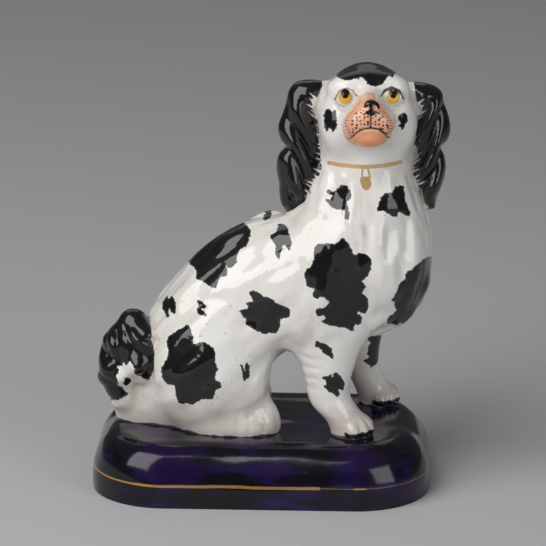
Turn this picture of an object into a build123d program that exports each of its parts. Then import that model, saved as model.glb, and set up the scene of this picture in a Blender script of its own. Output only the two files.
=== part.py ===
from build123d import *
import math
import os

# Seated spaniel figurine of press-moulded, glazed earthenware on a cushion base.
# Millimetres. Origin: centre of the flat underside of the base. +Z up, +X the way the dog's
# body faces. The head is turned a quarter to the dog's right, so the face looks along -Y.

# ---- driving dimensions ----
WALL = 4.5  # thickness of the pressed clay wall

BASE_LENGTH = 153.0
BASE_DEPTH = 98.0
BASE_HEIGHT = 27.0
BASE_CORNER = 34.0  # plan radius of the corners
BASE_FOOT = 5.0  # height of the upright band at the bottom
BASE_CROWN = 15.5  # how far in the rounded shoulder reaches
SLAB = 4.5  # thickness of the slab that closes the underside
VENT_RADIUS = 3.0
VENT_PLACE = (38.0, 18.0)
AIR_HOLE_RADIUS = 5.0  # hidden under the body, joins the two hollows
AIR_HOLE_PLACE = (-30.0, 3.0)

TOP = BASE_HEIGHT
COLLAR = 148.0  # height of the joint between body and head

HEAD_CENTRE = (46.5, -3.0, 171.0)
HEAD_PITCH = 13.0  # degrees that the face looks up
SKULL = (23.5, 25.0, 22.5)  # half sizes across, front to back and up
MUZZLE = (11.3, 17.0, 11.0)
MUZZLE_CENTRE = (1.0, -21.0, -3.5)  # from the head's centre, in the head's own directions

PARTING = Plane(origin=(0, 0.6, 0), x_dir=(1, -0.065, 0), z_dir=(0.065, 1, 0))


# ---- helpers ----
def slice_across(centre, lean, deep, wide):
    """An oval across the spine at centre: lean is the spine's climb there in degrees,
    deep the half size from belly to back and wide the half size from side to side."""
    climb = math.radians(lean)
    along = (math.cos(climb), 0, math.sin(climb))
    return Plane(origin=centre, x_dir=(0, 1, 0), z_dir=along) * Ellipse(wide, deep)


def level_oval(x, y, z, half_x, half_y, turn=0.0):
    """A level oval at height z, turned about the vertical."""
    return Plane.XY * Pos(x, y, z) * Rot(0, 0, turn) * Ellipse(half_x, half_y)


def skin(ovals):
    """The smooth solid through a row of ovals."""
    return loft([oval.face() for oval in ovals])


def ellipsoid(centre, halves, pitch=0.0, turn=0.0):
    """An ellipsoid of these half sizes, pitched about X and turned about Z."""
    return Pos(*centre) * Rot(0, 0, turn) * Rot(pitch, 0, 0) * scale(Sphere(1.0), by=halves)


def above(height):
    """A block that holds everything over a height."""
    return Pos(0, 0, height + 150) * Box(400, 400, 300)


def one_solid(shape):
    """The largest solid of a cut, without any crumbs."""
    return max(shape.solids(), key=lambda solid: solid.volume)


# ---- base ----
def base_outline(inset, height):
    corner = BASE_CORNER - inset
    return Pos(0, 0, height) * RectangleRounded(
        BASE_LENGTH - 2 * inset, BASE_DEPTH - 2 * inset, corner
    )


def cushion(inset, floor, top):
    """The cushion form: an upright band, then a shoulder that is a quarter of an oval."""
    rise = top - BASE_FOOT
    steps = 6
    outlines = []
    for step in range(steps + 1):
        angle = math.radians(90.0 * step / steps)
        reach = BASE_CROWN * (1 - math.cos(angle))
        outlines.append(base_outline(inset + reach, BASE_FOOT + rise * math.sin(angle)))
    band = extrude(base_outline(inset, floor), BASE_FOOT - floor)
    return band + loft([outline.face() for outline in outlines])


def base_cushion():
    shell = cushion(0.0, 0.0, BASE_HEIGHT) - cushion(WALL, -1.0, BASE_HEIGHT - WALL)
    air_hole = Pos(*AIR_HOLE_PLACE, BASE_HEIGHT) * Cylinder(AIR_HOLE_RADIUS, 4 * WALL)
    return shell - air_hole


def base_slab():
    plate = extrude(base_outline(WALL, 0.0), SLAB)
    return plate - Pos(*VENT_PLACE, SLAB / 2) * Cylinder(VENT_RADIUS, 2 * SLAB)


# ---- body ----
def body_form(thinner):
    """The trunk from the rump up to the collar, smaller all round by thinner."""
    spine = [
        ((-29.0, 5.0, TOP), 90, 31.0, 21.5),
        ((-27.0, 4.0, 45.0), 83, 30.0, 25.5),
        ((-20.0, 2.5, 66.0), 62, 32.0, 28.0),
        ((0.0, 1.0, 84.0), 45, 34.5, 28.0),
        ((26.0, -1.0, 97.0), 50, 38.0, 28.5),
        ((42.0, -2.0, 113.0), 70, 34.0, 28.5),
        ((45.5, -2.5, 130.0), 84, 28.0, 25.5),
        ((46.0, -3.0, COLLAR), 90, 19.5, 19.5),
    ]
    return skin([slice_across(c, lean, d - thinner, w - thinner) for c, lean, d, w in spine])


# ---- legs ----
FORELEG_RIGHT = [  # x, y, height, half size along x, half size along y
    (35.0, -16.0, 92.0, 11.0, 6.0),
    (34.0, -18.0, 79.0, 14.0, 9.5),
    (32.0, -19.0, 66.0, 12.5, 9.5),
    (31.0, -18.5, 52.0, 9.0, 8.5),
    (32.0, -18.5, 42.0, 9.0, 8.5),
    (37.0, -19.5, 34.0, 11.5, 9.5),
    (40.5, -20.0, TOP, 10.5, 9.0),
]
FORELEG_LEFT = [
    (44.0, 14.0, 92.0, 11.0, 6.0),
    (44.0, 18.0, 79.0, 13.5, 9.0),
    (45.0, 20.0, 66.0, 11.5, 9.0),
    (46.0, 21.5, 52.0, 8.0, 8.0),
    (47.5, 23.0, 42.0, 8.0, 8.0),
    (52.0, 25.0, 34.0, 10.5, 9.0),
    (54.0, 25.5, TOP, 10.0, 8.5),
]


def foreleg(rows, turn):
    return skin([level_oval(*row, turn) for row in rows])


HAUNCH = (26.5, 16.0, 27.5)  # half sizes along the body, across it and up
HAUNCH_HEIGHT = 53.0
HAUNCH_SPLAY = 6.0  # degrees that each haunch turns outwards
HIND_FOOT = [  # ahead of the haunch's centre, outwards, above the base, half width, half height
    (-10.0, 1.0, 5.0, 9.0, 8.0),
    (6.0, 3.5, 6.5, 9.5, 9.0),
    (20.0, 3.5, 6.0, 9.5, 9.0),
    (26.5, 3.0, 4.5, 8.0, 7.0),
    (30.0, 3.0, 3.5, 4.0, 3.5),
]


def hind_leg(side, x, y):
    """A haunch with its long foot. side is -1 for the dog's right and +1 for its left."""
    haunch = ellipsoid((x, y, HAUNCH_HEIGHT), HAUNCH, turn=-side * HAUNCH_SPLAY)
    foot = skin(
        [
            Plane(origin=(x + ahead, y + side * out, TOP + up), z_dir=(1, 0, 0)) * Ellipse(wide, tall)
            for ahead, out, up, wide, tall in HIND_FOOT
        ]
    )
    return (haunch + foot) & above(TOP)


# ---- head, ears and tail ----
def in_head(offset):
    """A place given from the head's centre, along the head's own pitched directions."""
    pitch = math.radians(-HEAD_PITCH)
    x, y, z = offset
    turned = (
        x,
        y * math.cos(pitch) - z * math.sin(pitch),
        y * math.sin(pitch) + z * math.cos(pitch),
    )
    return tuple(c + t for c, t in zip(HEAD_CENTRE, turned))


def head_form(thinner):
    """Skull, muzzle and throat down to the collar, smaller all round by thinner."""
    skull = ellipsoid(HEAD_CENTRE, tuple(h - thinner for h in SKULL), -HEAD_PITCH)
    throat = skin(
        [
            level_oval(46.0, -3.0, COLLAR, 19.5 - thinner, 19.5 - thinner),
            level_oval(46.5, -3.0, 158.0, 20.5 - thinner, 20.0 - thinner),
            level_oval(47.0, -2.0, 172.0, 20.0 - thinner, 19.0 - thinner),
        ]
    )
    return skull + throat


def muzzle_form():
    return ellipsoid(in_head(MUZZLE_CENTRE), MUZZLE, -HEAD_PITCH)


EAR_RIGHT = [
    (20.5, 0.0, 184.5, 4.5, 5.0),
    (18.0, 0.0, 179.0, 8.5, 8.5),
    (15.5, 0.0, 165.0, 9.5, 9.5),
    (16.0, -1.0, 150.0, 9.5, 9.5),
    (15.0, -2.0, 136.0, 8.5, 8.5),
    (14.5, -2.0, 126.0, 5.0, 5.5),
]
EAR_LEFT = [
    (72.0, 0.0, 184.5, 4.5, 5.0),
    (74.0, 0.0, 179.0, 8.0, 8.5),
    (75.0, 0.0, 165.0, 9.0, 9.5),
    (74.5, -1.0, 150.0, 8.5, 9.5),
    (75.0, -2.0, 138.0, 6.0, 8.0),
    (75.5, -2.0, 128.0, 3.0, 4.5),
]
TAIL = [
    (-60.0, -2.0, 31.0, 6.0, 8.0),
    (-62.0, -5.0, 44.0, 10.5, 10.0),
    (-61.5, -6.0, 58.0, 11.5, 10.5),
    (-59.5, -5.0, 70.0, 9.5, 9.5),
    (-58.5, -4.0, 77.5, 4.5, 5.0),
]


def column(rows):
    return skin([level_oval(*row) for row in rows])


# ---- assembly: each moulded piece ends where the next one begins ----
trunk = body_form(0.0)
head = head_form(0.0) & above(COLLAR)
head_hollow = head_form(WALL)
muzzle = muzzle_form()
trunk_hollow = body_form(WALL)
trunk_shell = trunk - trunk_hollow

forelegs = {
    "foreleg_right": foreleg(FORELEG_RIGHT, -12.0),
    "foreleg_left": foreleg(FORELEG_LEFT, -6.0),
}
hind_legs = {
    "hind_leg_right": hind_leg(-1, -21.0, -17.0),
    "hind_leg_left": hind_leg(1, -27.0, 20.0),
}

parts = {
    "base_cushion": base_cushion(),
    "base_slab": base_slab(),
    "body_right_half": split(trunk_shell, bisect_by=PARTING, keep=Keep.BOTTOM),
    "body_left_half": split(trunk_shell, bisect_by=PARTING, keep=Keep.TOP),
    "tail": column(TAIL) - trunk,
}
head_shell = (head + muzzle) - head_hollow
FACE = Plane(origin=HEAD_CENTRE, x_dir=(1, 0, 0), z_dir=(0, -1, 0))
parts["head_front_half"] = split(head_shell, bisect_by=FACE, keep=Keep.TOP)
parts["head_back_half"] = split(head_shell, bisect_by=FACE, keep=Keep.BOTTOM)
for name, rows in (("ear_right", EAR_RIGHT), ("ear_left", EAR_LEFT)):
    parts[name] = column(rows) - head - trunk
for name, leg in forelegs.items():
    parts[name] = leg - trunk
for name, leg in hind_legs.items():
    parts[name] = leg - trunk

os.makedirs("parts", exist_ok=True)
for name, shape in parts.items():
    solid = one_solid(shape)
    export_step(solid, f"parts/{name}.step")
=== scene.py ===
"""Seated spaniel figurine: glazed earthenware on a cobalt cushion base, ready for a studio picture."""

import math
from functools import partial

import bpy
import numpy as np
import openvdb
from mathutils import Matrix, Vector


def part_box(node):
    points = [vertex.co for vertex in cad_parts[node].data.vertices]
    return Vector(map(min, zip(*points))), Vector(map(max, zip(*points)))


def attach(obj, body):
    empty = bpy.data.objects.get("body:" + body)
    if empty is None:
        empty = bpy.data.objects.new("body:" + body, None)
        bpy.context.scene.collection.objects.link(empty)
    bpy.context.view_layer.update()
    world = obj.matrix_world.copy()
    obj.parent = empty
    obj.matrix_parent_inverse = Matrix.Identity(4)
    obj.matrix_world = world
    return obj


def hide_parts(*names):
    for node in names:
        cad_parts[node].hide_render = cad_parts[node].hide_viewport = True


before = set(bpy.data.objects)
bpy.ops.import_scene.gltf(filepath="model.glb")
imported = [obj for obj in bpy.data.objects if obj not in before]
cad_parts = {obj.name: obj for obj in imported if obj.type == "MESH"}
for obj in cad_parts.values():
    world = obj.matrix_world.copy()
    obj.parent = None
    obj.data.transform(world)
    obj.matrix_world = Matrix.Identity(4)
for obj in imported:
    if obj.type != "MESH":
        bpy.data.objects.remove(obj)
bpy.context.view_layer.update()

MM = 0.001  # the sculpting below works in millimetres
FINE = 0.38  # grid step of the head and ears
COARSE = 0.66  # grid step of the rest of the dog
SHELL = 1.8  # thickness given to each piece of the dog
SEED = 7

# ---- places taken from the frame ----


def node_box(*names):
    """The lowest and highest corners of some CAD nodes together, in millimetres."""
    boxes = [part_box(name) for name in names]
    low = np.min([np.array(box[0]) for box in boxes], axis=0) / MM
    high = np.max([np.array(box[1]) for box in boxes], axis=0) / MM
    return low, high


TOP = node_box("base_cushion")[1][2]  # of the base, where the dog stands
HEAD_LOW, HEAD_HIGH = node_box("head_front_half", "head_back_half")
COLLAR = HEAD_LOW[2]  # height of the joint of body and head
FACE_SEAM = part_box("head_back_half")[0][1] / MM  # where the head's front and back halves meet
SKULL = (21.2, 24.3, 22.6)  # half sizes across, front to back and up
HEAD = np.array([(HEAD_LOW[0] + HEAD_HIGH[0]) / 2, FACE_SEAM, HEAD_HIGH[2] - SKULL[2]])
HEAD_TURN = 3.5  # degrees that the face looks past square, to the dog's left
HEAD_PITCH = 13.0  # degrees that the face looks up
EAR_BOX = {side: node_box("ear_" + side) for side in ("right", "left")}
TAIL_LOW, TAIL_HIGH = node_box("tail")

# ---- small maths ----


def turn_matrix(turn=0.0, pitch=0.0, roll=0.0):
    """Columns are the turned x, y and z directions: roll about Y, then pitch about X, then turn about Z."""
    cz, sz = math.cos(math.radians(turn)), math.sin(math.radians(turn))
    cx, sx = math.cos(math.radians(pitch)), math.sin(math.radians(pitch))
    cy, sy = math.cos(math.radians(roll)), math.sin(math.radians(roll))
    about_z = np.array([[cz, -sz, 0], [sz, cz, 0], [0, 0, 1]])
    about_x = np.array([[1, 0, 0], [0, cx, -sx], [0, sx, cx]])
    about_y = np.array([[cy, 0, sy], [0, 1, 0], [-sy, 0, cy]])
    return about_z @ about_x @ about_y


HEAD_AXES = turn_matrix(HEAD_TURN, -HEAD_PITCH)


def in_head(p):
    """Points in the head's own frame: x to the dog's left, -y out of the face, z up the face."""
    return (p - HEAD) @ HEAD_AXES


def smooth_step(t):
    t = np.clip(t, 0.0, 1.0)
    return t * t * (3 - 2 * t)


def ramp(value, start, end):
    """0 before start and 1 after end, smooth between."""
    return smooth_step((value - start) / (end - start))


def join(a, b, blend):
    """The union of two distances, rounded over a width of blend."""
    h = np.maximum(blend - np.abs(a - b), 0.0) / blend
    return np.minimum(a, b) - h * h * blend / 4


def carve(a, b, blend):
    """a with b taken out of it."""
    return -join(-a, b, blend)


def ellipsoid(p, centre, halves, turn=0.0, pitch=0.0, roll=0.0):
    """Distance to an ellipsoid, near enough for blending."""
    q = (p - np.array(centre)) @ turn_matrix(turn, pitch, roll)
    k0 = np.linalg.norm(q / halves, axis=1)
    k1 = np.linalg.norm(q / np.square(halves), axis=1)
    return k0 * (k0 - 1) / np.maximum(k1, 1e-6)


def round_cone(p, a, b, ra, rb):
    """Distance to a rod from a to b whose radius goes from ra to rb."""
    a, b = np.array(a, float), np.array(b, float)
    along = b - a
    t = np.clip((p - a) @ along / (along @ along), 0, 1)
    return np.linalg.norm(p - a - t[:, None] * along, axis=1) - (ra + (rb - ra) * t)


def chain(p, beads, blend):
    """Round cones from bead to bead: each bead is x, y, z, radius."""
    d = None
    for (x0, y0, z0, r0), (x1, y1, z1, r1) in zip(beads, beads[1:]):
        rod = round_cone(p, (x0, y0, z0), (x1, y1, z1), r0, r1)
        d = rod if d is None else join(d, rod, blend)
    return d


LATTICE_SIZE = 32
LATTICE = np.random.default_rng(SEED).random((LATTICE_SIZE,) * 3)
LATTICE = np.pad(LATTICE, (0, 1), mode="wrap")  # the last cells blend into the first ones


def blended(values, cell, f):
    """The values at the corners of each point's cell of a grid, blended. f is how far the point is across
    the cell."""
    total = np.zeros(len(cell))
    for corner in np.ndindex(2, 2, 2):
        weight = np.where(corner, f, 1 - f)
        x, y, z = (cell + corner).T
        total += weight[:, 0] * weight[:, 1] * weight[:, 2] * values[x, y, z]
    return total


def noise(p, size):
    """Smooth random values from -1 to 1 with features about this size, one for each point."""
    q = p / size
    cell = np.floor(q).astype(int)
    f = q - cell
    f = f * f * f * (f * (f * 6 - 15) + 10)
    return blended(LATTICE, cell % LATTICE_SIZE, f) * 2 - 1


# ---- lofted forms ----


def on_curve(a, b, c, d, t):
    """The place t of the way from b to c on the Catmull-Rom curve through four points."""
    return 0.5 * (2 * b + (c - a) * t + (2 * a - 5 * b + 4 * c - d) * t**2 + (3 * b - a - 3 * c + d) * t**3)


def smooth_rows(rows, steps):
    """Rows filled in with a Catmull-Rom curve, steps between each two."""
    rows = np.array(rows, float)
    padded = np.vstack([2 * rows[0] - rows[1], rows, 2 * rows[-1] - rows[-2]])
    out = []
    for i in range(1, len(padded) - 2):
        a, b, c, d = padded[i - 1 : i + 3]
        for t in np.arange(steps) / steps:
            out.append(on_curve(a, b, c, d, t))
    out.append(rows[-1])
    return np.array(out)


class Loft:
    """The solid through a row of ovals, kept as a grid of distances.
    Each row is the oval's centre x, y, z, the climb of the spine in degrees (90 is straight up),
    the half size in the spine's upright plane, and the half size across it."""

    REACH = 14  # how far round the surface the grid goes, in its steps of one millimetre
    SIDES = 40  # corners of each ring of the surface
    STEPS = 5  # rings from each row to the next

    def __init__(self, rows):
        rings = []
        angles = np.arange(self.SIDES) * 2 * math.pi / self.SIDES
        for x, y, z, climb, deep, wide in smooth_rows(rows, self.STEPS):
            lean = math.radians(climb)
            up, side = (-math.sin(lean), 0, math.cos(lean)), (0, 1, 0)
            oval = np.outer(np.cos(angles) * deep, up)
            rings.append((x, y, z) + oval + np.outer(np.sin(angles) * wide, side))
        points = np.vstack(rings + [rings[0].mean(0)[None], rings[-1].mean(0)[None]])
        first, last = len(points) - 2, len(points) - 1
        n, m = self.SIDES, len(rings)
        faces = []
        for r in range(m - 1):
            for i in range(n):
                j = (i + 1) % n
                a, b, c, d = r * n + i, r * n + j, (r + 1) * n + j, (r + 1) * n + i
                faces += [(a, b, c), (a, c, d)]
        for i in range(n):
            j = (i + 1) % n
            faces += [(first, j, i), (last, (m - 1) * n + i, (m - 1) * n + j)]
        grid = openvdb.FloatGrid.createLevelSetFromPolygons(
            points, triangles=np.array(faces, np.int32), halfWidth=float(self.REACH)
        )
        low, high = grid.evalActiveVoxelBoundingBox()
        self.low = np.array(low) - 1
        self.values = np.empty([h - l + 3 for l, h in zip(low, high)], np.float32)
        grid.copyToArray(self.values, ijk=tuple(int(v) for v in self.low))

    def __call__(self, p):
        q = p - self.low
        inside = np.clip(q, 0, np.array(self.values.shape) - 1.001)
        cell = inside.astype(int)
        return blended(self.values, cell, inside - cell) + np.linalg.norm(q - inside, axis=1)


# ---- the dog's forms, in millimetres ----

SPINE = [  # rows for Loft, from the rump up to the neck
    (-30, 8, TOP - 3, 90, 31, 16),
    (-27, 5, 45, 83, 30, 24),
    (-20, 2.5, 66, 62, 32, 28),
    (0, 1, 84, 45, 34.5, 28),
    (26, -1, 97, 50, 38, 28.5),
    (42, -2, 113, 70, 34, 28.5),
    (45.5, -2.5, 130, 84, 28, 25.5),
    (46, -3, COLLAR, 90, 19.8, 19.5),
    (46.5, -3, COLLAR + 12, 90, 19.5, 18.5),
]
EARS = {  # level ovals: x, y, z, half sizes along x and along y
    "right": [
        (20.5, 0, 184.4, 3, 3), (20.3, 0, 182.6, 6.2, 5.5), (19.3, 0, 178, 8.4, 7.5),
        (17.3, 0, 170, 8.8, 8.2), (16.7, -0.5, 163, 9.9, 8.6), (17.5, -1, 155, 9.7, 8.8),
        (16.9, -1.5, 147, 10.6, 8.8), (16.5, -2, 138, 9.8, 8.4), (15.2, -2, 131, 7.3, 7),
        (14.2, -2, 126, 3.6, 4),
    ],
    "left": [
        (70, 0, 184, 2.5, 3), (70.5, 0, 182.4, 5.5, 5.5), (73, 0, 179.5, 7, 7.5), (74.5, 0, 172, 7.2, 8),
        (74.6, -0.5, 163, 8.8, 8.4), (74.2, -1, 155, 7.8, 8.4), (74.2, -1.5, 146, 7.4, 8),
        (75, -2, 138, 5.4, 6.6), (75.4, -2, 132, 3.5, 4.6), (75.6, -2, 127.5, 1.4, 2),
    ],
}
EAR_ROOTS = {  # the flat top of each ear, from the skull to its outer corner
    "right": ((32, 0.5, 180.6), (17.8, 0, 179.8)),
    "left": ((61, 0.5, 180.2), (74.4, 0, 178.8)),
}
FORELEGS = {  # level ovals in the same way
    "right": [
        (35, -14, 93, 9, 5), (34.5, -16.5, 82, 14, 8.5), (31.6, -18.5, 70, 14, 9.8),
        (30.4, -19, 60, 12.4, 9.2), (30.2, -18.5, 51, 10.2, 8.6), (30.8, -18.5, 44.5, 9.6, 8.4),
        (33.4, -19.2, 39.5, 9.8, 8.8), (38.2, -20, 34, 9.2, 8.8), (39.6, -20.5, 29, 8.2, 8.2),
        (39.6, -20.5, 23, 7.8, 7.8),
    ],
    "left": [
        (43, 12, 93, 9, 5), (44, 16, 82, 13, 8.5), (45.2, 19, 70, 11, 9), (45, 20.5, 60, 9, 8.4),
        (45, 22, 51, 7.8, 7.8), (45.4, 23, 44.5, 7.8, 7.8), (47.6, 24, 39.5, 8.4, 8.2),
        (50.2, 24.8, 34, 8.6, 8.4), (51.2, 25, 29, 8, 7.8), (51.2, 25, 23, 7.6, 7.4),
    ],
}
FOREPAWS = {"right": (40, -20.5), "left": (51.6, 25)}
TAIL_OUTER = [  # beads down the outside of the tail: x, y, z, radius
    (-58.5, -3, 71, 7), (-62.5, -5, 62, 9), (-64.3, -5, 50, 9.3), (-61.5, -5, 38, 7), (-58, -5, 33, 4.5),
]
TAIL_INNER = [(-57.5, -6, 73.5, 5.5), (-53.5, -10, 66, 7.5), (-52.8, -12, 56, 7.3), (-53.4, -11.5, 50, 3.6)]
HAUNCHES = {"right": (-21, -17), "left": (-27, 20)}
PAW_HEADING = -28.0  # degrees that the front toes turn to the dog's right
SIDES = {"right": -1, "left": 1}


def upright(ovals):
    """The loft through level ovals."""
    return Loft([(x, y, z, 90, deep, wide) for x, y, z, deep, wide in ovals])


trunk_loft = Loft(SPINE)
ear_lofts = {side: upright(ovals) for side, ovals in EARS.items()}
foreleg_lofts = {side: upright(ovals) for side, ovals in FORELEGS.items()}


def trunk(p):
    d = trunk_loft(p)
    d = join(d, ellipsoid(p, (52, -3, 100), (22, 24, 26), roll=-8), 12)
    for y in (-17, 15):
        d = join(d, ellipsoid(p, (23, y, 93), (20, 14.5, 26), roll=20), 12)
    return carve(d, ellipsoid(p, (13, 0, 34), (16, 60, 27)), 12)


def paw(p, centre, heading, reach, spread, size):
    """Toes fanned round the front of a foot, as one form."""
    d = None
    for step in (-1.5, -0.5, 0.5, 1.5):
        angle = math.radians(heading + spread * step)
        x = centre[0] + reach * math.cos(angle)
        y = centre[1] + reach * math.sin(angle)
        halves = (size * 1.45, size * 0.95, size * 1.25)
        toe = ellipsoid(p, (x, y, TOP + 3.2), halves, turn=math.degrees(angle), roll=18)
        d = toe if d is None else join(d, toe, 0.9)
    return d


def foreleg(p, side):
    toes = paw(p, FOREPAWS[side], PAW_HEADING, 6.2, 31, 3.7)
    return join(foreleg_lofts[side](p), toes, 2.6)


def hind_leg(p, side):
    x, y = HAUNCHES[side]
    out = SIDES[side]
    haunch = ellipsoid(p, (x - 1, y, 53), (25.5, 15.5, 27), turn=-out * 6)
    knee = ellipsoid(p, (x + 12.5, y + out, 47), (9, 10, 13), roll=-20)
    foot = ellipsoid(p, (x + 8, y + out, TOP + 3), (21, 10.8, 11.5), turn=out * 3)
    toes = ellipsoid(p, (x + 19.5, y - out * 0.5, TOP + 4), (9.6, 10.2, 13.5))
    rump = ellipsoid(p, (x - 15, y - out * 15.5, TOP + 6), (26, 12, 19), turn=out * 22)
    return join(join(join(haunch, knee, 6), join(foot, toes, 5), 3), rump, 14)


def tail(p):
    return join(chain(p, TAIL_OUTER, 5), chain(p, TAIL_INNER, 4), 4)


def head(p):
    q = in_head(p)
    d = ellipsoid(q, (0, 0, 0), SKULL)
    neck = round_cone(p, (46, -3, COLLAR - 10), (46.5, -1, COLLAR + 22), 19.5, 18.5)
    d = join(d, neck, 5)
    for s in (-1, 1):
        d = join(d, ellipsoid(q, (s * 11.5, -10, -5), (9.5, 11.5, 13)), 6)
        d = join(d, ellipsoid(q, (s * 9, -14.8, 12.5), (8.5, 6.5, 4.5), roll=s * 8), 6)
        d = carve(d, ellipsoid(q, (s * 8.4, -25.8, 5.6), (6.4, 3.6, 4.4)), 7)
    muzzle = ellipsoid(q, (-0.5, -23, -4.8), (11.2, 13.5, 9.4))
    bridge = round_cone(q, (0, -19, 8), (0, -32.5, 1.5), 3.6, 5.6)
    muzzle = join(muzzle, bridge, 6)
    for s in (-1, 1):
        muzzle = join(muzzle, ellipsoid(q, (s * 4.9, -31.2, -3.4), (5.9, 5.8, 5.6)), 2.5)
    chin = ellipsoid(q, (0, -28, -10.3), (7.2, 7, 4.4))
    muzzle = join(muzzle, chin, 1.6)
    d = join(d, muzzle, 4.5)
    nose = ellipsoid(q, (0, -36.2, 4), (3.4, 2.6, 2.3))
    nose = join(nose, ellipsoid(q, (0, -36.8, 1.8), (2, 1.9, 2.2)), 1.2)
    d = join(d, nose, 1)
    for s in (-1, 1):
        d = join(d, ellipsoid(q, (s * 10.4, -17.3, 7.2), (5.2, 5.4, 5)), 0.8)
    return d


def ear(p, side):
    inner, outer = EAR_ROOTS[side]
    root = round_cone(p, inner, outer, 4.8, 4.2)
    return join(ear_lofts[side](p), root, 3)


PARTS = {"trunk": trunk, "head": head}
for limb, form in (("foreleg_", foreleg), ("hind_leg_", hind_leg), ("ear_", ear)):
    PARTS |= {limb + side: partial(form, side=side) for side in SIDES}
PARTS["tail"] = tail
BLENDS = {  # how softly each part runs into those before it
    "trunk": 1, "head": 7, "foreleg_right": 9, "foreleg_left": 8, "hind_leg_right": 12,
    "hind_leg_left": 12, "ear_right": 1.6, "ear_left": 1.6, "tail": 1.8,
}


def distances(p, names=None):
    """The distance to each named part, or to every part."""
    return {name: PARTS[name](p) for name in PARTS if names is None or name in names}


def dog(parts):
    """The distance to the whole dog, from the distances to its parts."""
    d = None
    for name, part in parts.items():
        d = part if d is None else join(d, part, BLENDS[name])
    return d


# ---- from the forms to meshes ----

BLOCK = 8  # grid steps along each side of a block
NEARBY = 1.4  # block sides from the surface within which a block is worked out
FAR = 4  # grid steps: the distance given to all other places
CHUNK = 400  # blocks worked out at once


def cells_of(count):
    """The index of every cell of a grid with these counts, one in each row."""
    return np.stack(np.meshgrid(*[np.arange(n) for n in count], indexing="ij"), -1).reshape(-1, 3)


def skin(low, high, step):
    """The dog's surface inside a box: vertices and triangles, on a grid of this step.
    Only blocks near the surface are worked out, each from the parts that can reach it."""
    count = np.ceil((high - low) / (step * BLOCK)).astype(int)
    blocks = cells_of(count)
    rough_parts = distances(low + (blocks + 0.5) * step * BLOCK)
    rough = dog(rough_parts)
    reach = step * BLOCK * NEARBY
    values = np.full(tuple(count * BLOCK), step * FAR, np.float32)
    solid = values.reshape(count[0], BLOCK, count[1], BLOCK, count[2], BLOCK)
    for b in blocks[rough < -reach]:
        solid[b[0], :, b[1], :, b[2], :] = -step * FAR
    near = np.abs(rough) <= reach
    names = list(PARTS)
    matters = np.stack([rough_parts[n] < rough + BLENDS[n] + 2 * reach for n in names], 1)
    codes = matters @ (1 << np.arange(len(names)))
    inner = cells_of([BLOCK] * 3)
    for code in np.unique(codes[near]):
        chosen = [n for i, n in enumerate(names) if code >> i & 1]
        group = blocks[near & (codes == code)]
        for chunk in np.array_split(group, max(1, len(group) // CHUNK)):
            index = (chunk[:, None, :] * BLOCK + inner[None]).reshape(-1, 3)
            found = dog(distances(low + index * step, chosen))
            values[index[:, 0], index[:, 1], index[:, 2]] = found
    grid = openvdb.FloatGrid(step * FAR)
    grid.copyFromArray(values)
    points, quads = grid.convertToQuads(isovalue=0.0)
    triangles = np.vstack([quads[:, [0, 1, 2]], quads[:, [0, 2, 3]]]).astype(np.int64)
    return low + points.astype(float) * step, triangles


def vertex_normals(points, triangles):
    a, b, c = points[triangles[:, 0]], points[triangles[:, 1]], points[triangles[:, 2]]
    face = np.cross(b - a, c - a)
    normals = np.zeros_like(points)
    for corner in range(3):
        for axis in range(3):
            normals[:, axis] += np.bincount(triangles[:, corner], face[:, axis], len(points))
    return normals / np.maximum(np.linalg.norm(normals, axis=1), 1e-9)[:, None]


def divide(data, triangles, value):
    """Cuts triangles where value changes sign. Returns the grown data, the triangles below zero and those
    above. data has one row for each vertex, and new vertices are blended along the cut edges."""
    low = value < 0
    lone = np.sum(low[triangles], axis=1)
    below, above = triangles[lone == 3], triangles[lone == 0]
    parts = {True: [below], False: [above]}
    edges, tasks = [], []
    for count, single in ((1, True), (2, False)):
        mixed = triangles[lone == count]
        first = np.argmax(low[mixed] == single, axis=1)
        a = mixed[np.arange(len(mixed)), first]
        b = mixed[np.arange(len(mixed)), (first + 1) % 3]
        c = mixed[np.arange(len(mixed)), (first + 2) % 3]
        tasks.append((single, a, b, c))
        edges += [np.stack([a, b], 1), np.stack([a, c], 1)]
    pairs = np.sort(np.vstack(edges), axis=1)
    if len(pairs) == 0:
        return data, below, above
    unique, where = np.unique(pairs, axis=0, return_inverse=True)
    where = where.reshape(-1)
    va, vb = value[unique[:, 0]], value[unique[:, 1]]
    share = (va / (va - vb))[:, None]
    grown = np.vstack([data, data[unique[:, 0]] * (1 - share) + data[unique[:, 1]] * share])
    start = 0
    for single, a, b, c in tasks:
        n = len(a)
        ab = len(data) + where[start : start + n]
        ac = len(data) + where[start + n : start + 2 * n]
        start += 2 * n
        parts[single].append(np.stack([a, ab, ac], 1))
        parts[not single] += [np.stack([ab, b, c], 1), np.stack([ab, c, ac], 1)]
    return grown, np.vstack(parts[True]), np.vstack(parts[False])


def edges_of(triangles):
    """The three edges of each triangle, as pairs of vertices in order."""
    return np.vstack([triangles[:, [0, 1]], triangles[:, [1, 2]], triangles[:, [2, 0]]])


def hollowness(points, normals, triangles, rounds):
    """How hollow the surface is round each vertex, per millimetre: above zero in grooves."""
    edges = edges_of(triangles)
    count = np.bincount(edges[:, 0], minlength=len(points)) + 1e-9

    def spread(values):
        return np.bincount(edges[:, 0], values[edges[:, 1]], len(points)) / count

    mean = np.stack([spread(points[:, i]) for i in range(3)], 1)
    side = np.linalg.norm(points[edges[:, 0]] - points[edges[:, 1]], axis=1).mean()
    bend = np.sum((mean - points) * normals, axis=1) / side**2
    for _ in range(int(rounds) ** 2):
        bend = spread(bend)
    return bend


# ---- relief: curls, toes, lids and folds, as heights over the smooth form ----

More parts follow.
